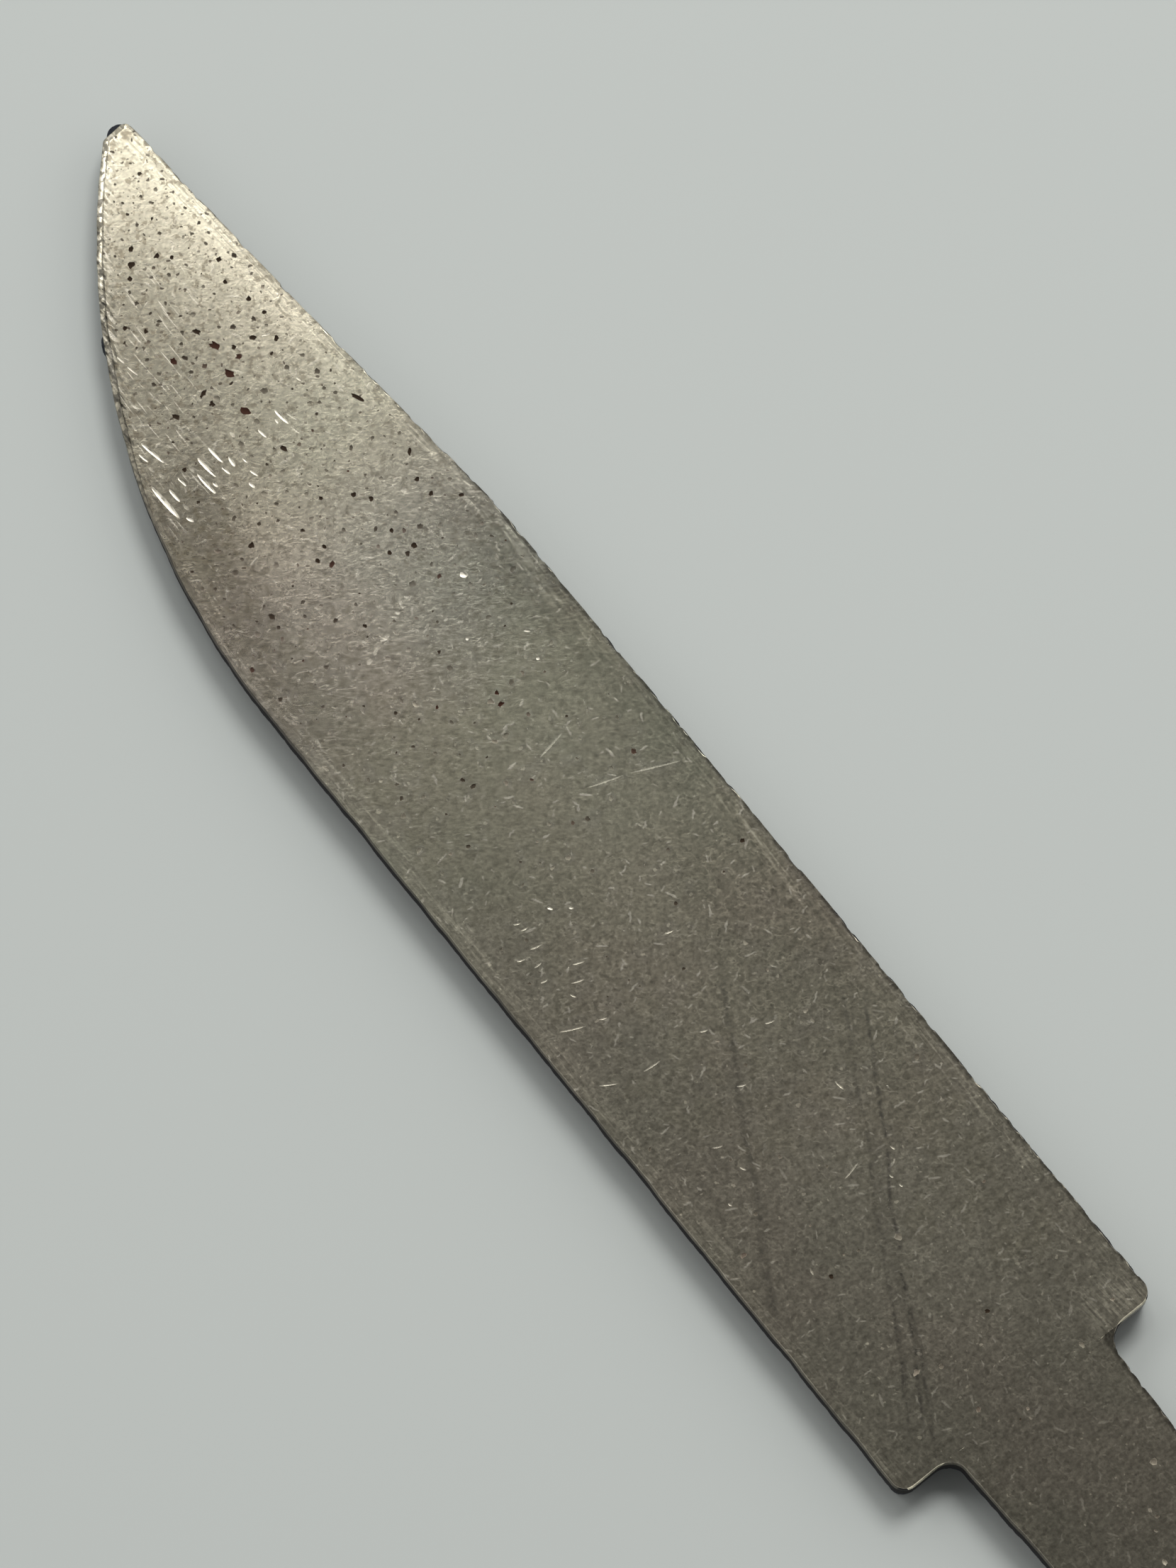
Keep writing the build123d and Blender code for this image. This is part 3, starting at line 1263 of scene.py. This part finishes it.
@dataclass(frozen=True)
class TumbledSteel:
    """Blade steel as it leaves the tumbler: satin, grained, pitted and a little stained.

    The line that parts the belly's side from the back's runs along the middle, and falls towards
    the nose from where it bends. Roll and wall are told apart by how far they lie below the face.
    Some of the colour is painted light and shade: paler towards the nose, lighter at the tang and
    tip, darker towards the back along the middle, and near black on the wall and roll in shade.
    """

    outline: Outline
    thickness: float
    middle_bends: float = 66.0
    middle_fall: float = 0.18
    roll_fall: float = 0.3
    roll_reach: float = 0.6
    wall_top: float = 0.26
    torn_height: float = 0.95
    # Painted highlight: the paler colour that the steel turns towards the nose, where the lamps' reflection
    # falls.
    pale: Colour = (0.53, 0.49, 0.375, 1)
    cool: Colour = (0.452, 0.438, 0.334, 1)
    warm: Colour = (0.486, 0.440, 0.342, 1)
    # Scraped steel, near white, for scuffs, scrapes and gouges; it also paints glints and rim highlights.
    scraped_and_glint: Colour = (0.92, 0.86, 0.72, 1)
    grime: Colour = (0.034, 0.022, 0.013, 1)
    rust: Colour = (0.050, 0.021, 0.013, 1)
    tan: Colour = (0.20, 0.165, 0.11, 1)
    # Near black: the worn roll, and painted shade on the wall along the belly.
    cut: Colour = (0.020, 0.019, 0.018, 1)
    burnished: Colour = (0.22, 0.21, 0.19, 1)
    dull: Colour = (0.19, 0.175, 0.145, 1)
    torn: Colour = (0.022, 0.024, 0.030, 1)
    roughness: float = 0.15
    bump_depth: float = 0.006
    smudge_place: tuple[float, float] = (100.1, -6.8)

    def tone(self, here: Here) -> Term:
        """Give the steel its colour, with slow tints and a painted highlight that turns it paler towards
        the nose.

        Args:
            here: The place.

        Returns:
            The colour, before any shade.
        """
        net, x, y = here.net, here.x, here.y
        cool_share = net.noise(here.place, 0.11).rise(0.38, 0.62) * 0.4 + x.within(33, 46, 62, 74) * 0.6
        colour = net.mix(cool_share, self.warm, self.cool)
        # Painted highlight: paler towards the nose, where the lamps' reflection falls.
        colour = net.mix(here.near_nose * 0.8, colour, self.pale)
        rosy = y.rise(-1.5, 4.0) * x.within(55.5, 60, 68, 86)
        greyed = y.rise(1.0, -3.5) * x.within(38, 44, 76, 84)
        pearly = x.within(54, 62, 67, 75)
        tint = net.joined(rosy * 0.04 - greyed * 0.02 + 1, 1.0, pearly * 0.05 + 1)
        return net.vector("MULTIPLY", colour, tint)

    def edge_shade(self, here: Here) -> Term:
        """Shade the lines and strokes along the rims and at the shoulders.

        Args:
            here: The place.

        Returns:
            What they add to the shade.
        """
        net, x, y, rim = here.net, here.x, here.y, here.rim
        back_band = (1 - here.belly) * rim.within(0.3, 0.8, 1.2, 2.8) * x.within(72, 84, 94, 99)
        teeth = here.tick.rise(0.52, 0.64) * here.toothed * rim.rise(1.3, 0.4)
        brush = net.noise(net.joined(x * 0.12, y * 4.0), 1.0, 3.0, 0.7)
        shoulders = abs(y).rise(5.5, 9.0) * x.within(-2, -0.5, 1, 9)
        slanted = net.joined(x * 0.28, (rim + x * 0.04) * 3.6, y.math("SIGN"))
        strand = net.noise(slanted).rise(0.48, 0.64) * rim.within(0.1, 0.35, 0.8, 2.0)
        broken = net.noise(net.joined(x * 0.09, y), 1.0, 1.0).rise(0.4, 0.6) * 0.36 + 0.12
        strand = strand * broken * x.within(-1, 3, 66, 84)
        combed = net.joined(x * 0.4, (y - x * 0.1) * 3.6)
        ragged_end = (x + net.noise(combed, 1.0, 1.0) * 6.0).rise(6.8, 4.4)
        comb = net.noise(combed, 1.0, 2.0, 0.6).rise(0.43, 0.57) * ragged_end
        comb = comb * y.rise(-5.4, -6.4) * x.rise(0.0, 0.6)
        shade = here.lines * 0.8 + back_band * (here.drawn * 0.7 - 0.05) - teeth * 0.4
        return shade + (brush - 0.44) * shoulders + strand + comb * 0.7

    def shade(self, here: Here) -> Term:
        """Find how light the steel is, with painted light and shade in some patches.

        Args:
            here: The place.

        Returns:
            A factor on the steel's own colour.
        """
        x, y, rim, near_nose = here.x, here.y, here.rim, here.near_nose
        worms = (here.worms * 1.5 + here.fine_worms * 0.5) * (1 - near_nose * 0.8)
        pattern = here.coarse * 0.4 + here.fine * 0.25 + here.speckle * 0.3 + worms * 0.24
        bite = near_nose * 0.3 + 0.68 + x.rise(42.0, 28.0) * 0.14
        drift = here.net.noise(here.place, 0.3, 3.0)
        shade = (pattern - 0.5) * bite + (drift - 0.5) * 0.16 + 0.965 + self.edge_shade(here)
        shade = sum((brightness_patch.mask(x, y) for brightness_patch in LOWER_PATCHES), shade)
        belly_band = here.belly * (rim - here.past_middle * 0.1).rise(5.5, 2.0) * x.within(54, 74, 77, 82)
        edge_band = (1 - here.belly) * rim.rise(4.5, 0.8) * x.within(40, 46, 64, 70)
        pale_band = here.belly * rim.rise(2.2, 1.2) * x.within(14, 22, 52, 60)
        shade = (shade + pale_band * 0.08) * (1 - belly_band * 0.39 - edge_band * 0.19)
        return sum((brightness_patch.mask(x, y) for brightness_patch in UPPER_PATCHES), shade)

    def dulled(self, here: Here) -> Term:
        """Draw the dull bands, broken up and wandering a little.

        Args:
            here: The place.

        Returns:
            How dull the steel is.
        """
        wander = here.net.noise(here.place, 0.22, 3.0) - 0.5
        bands = sum(streak.mask(here.x, here.y, wander) for streak in STREAKS)
        gaps = here.net.noise(here.place, 0.85).rise(0.30, 0.50)
        return bands * here.mottle.rise(0.35, 0.6) * gaps * here.face

    def roll_wear_and_shade(self, here: Here) -> Term:
        """Wear the roll along the back, the straight edge and the tang, nick it elsewhere, and paint shade
        on it in the shoulder notches.

        Args:
            here: The place.

        Returns:
            How dark and worn the roll is, painted shade in the notches included.
        """
        nicks = here.net.noise(here.net.joined(here.x, here.y), 2.2).rise(0.5, 0.58)
        worn_back = (1 - here.belly) * (1 - here.near_nose * 0.4)
        worn_side = worn_back.most(here.x.rise(86.0, 72.0) * 0.8)
        # Painted shade: the roll in the shoulder notches, which face away from the lamps, is darkened.
        notch_shade = here.x.within(-0.1, 0, 0.5, 0.9) * abs(here.y).rise(6.3, 6.8)
        return here.roll * (nicks * 0.6).most(worn_side).most(notch_shade)

    def build(self) -> Material:
        """Make the material.

        Returns:
            The material, which reads the numbers mark, rusted and torn from the mesh.
        """
        material, net = new_material("tumbled_steel")
        here = Here(net, self)
        place, x, y, rim, near_nose = here.place, here.x, here.y, here.rim, here.near_nose

        smudge = net.vector("DISTANCE", place, (*self.smudge_place, self.thickness), outlet="Value")
        veins = here.mottle.rise(0.47, 0.39) * (near_nose * 0.6 + 0.05) * here.face
        veins = veins.most((smudge + here.speckle).rise(1.1, 0.6) * 0.8)
        spots = net.strokes(place, 1.25, (0.17, 0.1), near_nose * 0.55 + 0.06, 3.0)
        small_spots = net.strokes(place, 2.2, (0.09, 0.07), near_nose * 0.5 + 0.05, 9.0)
        soiled = ((spots + small_spots * 0.7) * here.face).clamped()
        scuffs = net.strokes(place, 0.72, (0.48, 0.085), 0.5, 14.0)
        short_scuffs = net.strokes(place, 1.15, (0.27, 0.075), 0.34, 27.0)
        light = ((scuffs + short_scuffs) * here.face).clamped() * x.rise(-40.0, 20.0)
        by_belly = here.belly * rim.rise(6.5, 3.5) * x.within(75.5, 77, 90, 93)
        scrapes = net.noise(net.joined(x * 0.4 + 7.0, y * 4.4)).rise(0.60, 0.70) * by_belly * here.face
        # Painted highlight: light dots on the belly's rim near the nose, where the rim catches the lamps.
        rim_glints = here.tick.rise(0.49, 0.38) * here.toothed * rim.rise(1.4, 0.3) * x.rise(84.0, 90.0)
        light_share = light * (x.within(10, 20, 48, 58) * 0.08 + 0.38 - near_nose * 0.14)
        # Positive tones are bright marks: scraped gouges, scratches and nicks, with the gouges' near-white
        # partly painted glints.
        mark = net.attribute("mark")
        dark, bright_and_glint = (mark * -1).clamped(), mark.clamped()
        broken = net.noise(net.joined(x * 1.4, y * 7.5)).rise(0.54, 0.38) * 0.75
        bright_and_glint = bright_and_glint * (1 - bright_and_glint * broken)
        roll_wear_and_shade = self.roll_wear_and_shade(here)
        edge_line = net.noise(net.joined(x * 0.9, rim)).rise(0.36, 0.5) * rim.rise(0.4, 0.12)

        colour = net.scaled(self.tone(here), self.shade(here))
        for share, cover in (
            (veins, self.tan),
            (light_share.most(scrapes * 0.5).most(rim_glints * 0.6), self.scraped_and_glint),
            (soiled * 0.85, self.grime),
            (self.dulled(here), self.dull),
            (dark, net.mix(net.attribute("rusted"), self.grime, self.rust)),
            # Bright marks, partly painted glints.
            (bright_and_glint * 0.75, self.scraped_and_glint),
            (roll_wear_and_shade.most(edge_line * (1 - here.belly) * 0.6), self.cut),
            # Painted shade: the wall along the belly lies in the lamps' shadow and is near black; the wall
            # along the back keeps a burnished grey.
            (here.wall, net.mix(here.belly, self.burnished, self.cut)),
            (here.torn, self.torn),
        ):
            colour = net.mix(share, colour, cover)

        rough = here.speckle * 0.1 + here.mottle * 0.06 + self.roughness + bright_and_glint * 0.2 + dark * 0.75
        rough = rough + here.torn * 0.1 + soiled * 0.2 + here.wall * (here.belly * 0.45 + 0.3)
        metal = 1 - dark * 0.9 - bright_and_glint * 0.6 - here.torn * 0.2 - light * 0.12 - soiled * 0.6
        metal = metal - here.wall * (here.belly * 0.75 + 0.2) - roll_wear_and_shade * 0.85
        height = here.coarse * 0.3 + here.fine * 0.25 + here.speckle * 0.35 + here.worms * 0.15
        height = height + here.lines * 0.5 - soiled * 0.3 + light * 0.12
        relief = x.rise(-20.0, 30.0) * 0.35 + 0.6 - near_nose * 0.3
        net.finish(
            Base_Color=colour,
            Metallic=metal.clamped(),
            Roughness=(rough + roll_wear_and_shade * 0.3 - here.lines * 0.05).clamped(),
            Specular_IOR_Level=0.2,
            Normal=net.bump(height * relief, self.bump_depth),
        )
        return material


@dataclass(frozen=True)
class Lamp:
    """A round soft lamp: its way from the blank, its diameter and how brightly it lights a white floor."""

    name: str
    way: Way
    size: float
    level: float

    def hang(self, distance: float, aim: Vector) -> None:
        """Hang the lamp.

        Args:
            distance: How far it hangs from its aim, in metres.
            aim: The place that it shines at, in metres.
        """
        light = bpy.data.lights.new(self.name, "AREA")
        light.shape = "DISK"
        light.size = self.size * MM
        toward = Vector(self.way).normalized()
        light.energy = self.level * math.pi**2 * distance**2 / toward.z
        thing = placed(self.name, light)
        thing.location = toward * distance + aim
        thing.rotation_euler = toward.to_track_quat("Z", "Y").to_euler()


@dataclass(frozen=True)
class Studio:
    """Floor, soft light and the photograph's camera."""

    floor_colour: Colour = (0.487, 0.512, 0.489, 1)
    floor_half: float = 1500.0
    floor_drop: float = 0.02
    camera_place: Way = (-31.72, 56.28, 344.36)
    camera_turn: Way = (16.075, 0.402, -128.362)
    photo_height: int = 2212
    focal_pixels: float = 8000.0
    sensor: float = 36.0
    nearest: float = 10.0
    farthest: float = 20000.0
    lamps: tuple[Lamp, ...] = (
        Lamp("key_lamp", (0.46, -0.70, 1.0), 480.0, 0.41),
        Lamp("glint_lamp", (0.62, -0.22, 1.0), 260.0, 0.07),
        Lamp("rim_lamp", (0.75, 0.20, 0.63), 300.0, 0.05),
    )
    lamp_distance: float = 1100.0
    lamp_aim: float = 40.0
    horizon: float = 0.96
    horizon_up: float = 0.55
    zenith: float = 0.04
    zenith_up: float = 0.87
    lean: Way = (0.85, -0.40, 0.0)

    def floor(self) -> None:
        """Lay the plain table top, just under the blank."""
        half, low = self.floor_half * MM, -self.floor_drop * MM
        corners = [(-half, -half, low), (half, -half, low), (half, half, low), (-half, half, low)]
        thing = built("floor", corners, faces=[(0, 1, 2, 3)])
        material, net = new_material("pale_table")
        net.finish(Base_Color=self.floor_colour, Roughness=0.6, Specular_IOR_Level=0.2)
        thing.data.materials.append(material)

    def world(self) -> None:
        """Add a pale surround, dark overhead and paler on the lamps' side, that the camera sees as pale."""
        world = bpy.data.worlds.new("surround")
        world.use_nodes = True
        bpy.context.scene.world = world
        net = Net(world.node_tree)
        way = net.add("ShaderNodeTexCoord", outlet="Generated")
        side = net.vector("DOT_PRODUCT", way, self.lean, outlet="Value") + 1
        low = net.parts(way)[2].rise(self.zenith_up, self.horizon_up)
        level = low * (self.horizon - self.zenith) + self.zenith
        path = net.add("ShaderNodeLightPath", outlet="Is Camera Ray")
        seen = path.most(path.other("Is Glossy Ray")).most(path.other("Is Transmission Ray"))
        level = level * (seen + (1 - seen) * side)
        sky = net.add("ShaderNodeBackground", None, {"Strength": level, "Color": (1, 1, 1, 1)})
        net.end("ShaderNodeOutputWorld", sky)

    def camera(self) -> None:
        """Set up the camera that took the photograph."""
        data = bpy.data.cameras.new("photo_camera")
        data.sensor_width = self.sensor
        data.lens = self.focal_pixels / self.photo_height * self.sensor
        data.clip_start, data.clip_end = self.nearest * MM, self.farthest * MM
        thing = placed("photo_camera", data)
        thing.location = Vector(self.camera_place) * MM
        thing.rotation_euler = [math.radians(a) for a in self.camera_turn]
        bpy.context.scene.camera = thing

    def build(self) -> None:
        """Set the whole stage."""
        self.floor()
        for lamp in self.lamps:
            lamp.hang(self.lamp_distance * MM, Vector((self.lamp_aim * MM, 0, 0)))
        self.world()
        self.camera()
        bpy.context.scene.view_settings.view_transform = "Standard"


def build_blank() -> Object:
    """Make the blank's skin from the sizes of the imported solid.

    Returns:
        The skin, which stands for the solid.
    """
    low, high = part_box(CAD_NODE)
    outline = Outline(half_width=high.y / MM, tang_length=-low.x / MM)
    land = EdgeLand(thickness=high.z / MM)
    nose_way = Vector((outline.nose_width, outline.nose_skew, 0)).normalized()
    nose_middle = (outline.nose_belly + outline.nose_back) / 2
    stubs = (
        TabStub(nose_middle, nose_way, chord=1.4, proud=0.38),
        TabStub(*outline.belly_point(14.0), chord=1.1, proud=0.16),
    )
    steel = TumbledSteel(outline, land.thickness).build()
    blank = BlankShape(outline, land, PitScatter(), stubs).build(steel)
    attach(blank, "root")
    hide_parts(CAD_NODE)
    log.info("%s: %d faces", blank.name, len(blank.data.polygons))
    return blank


def main() -> None:
    """Build the scene."""
    logging.basicConfig(level=logging.INFO, format="%(name)s: %(message)s")
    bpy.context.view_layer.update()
    Studio().build()
    build_blank()


if __name__ == "__main__":
    main()
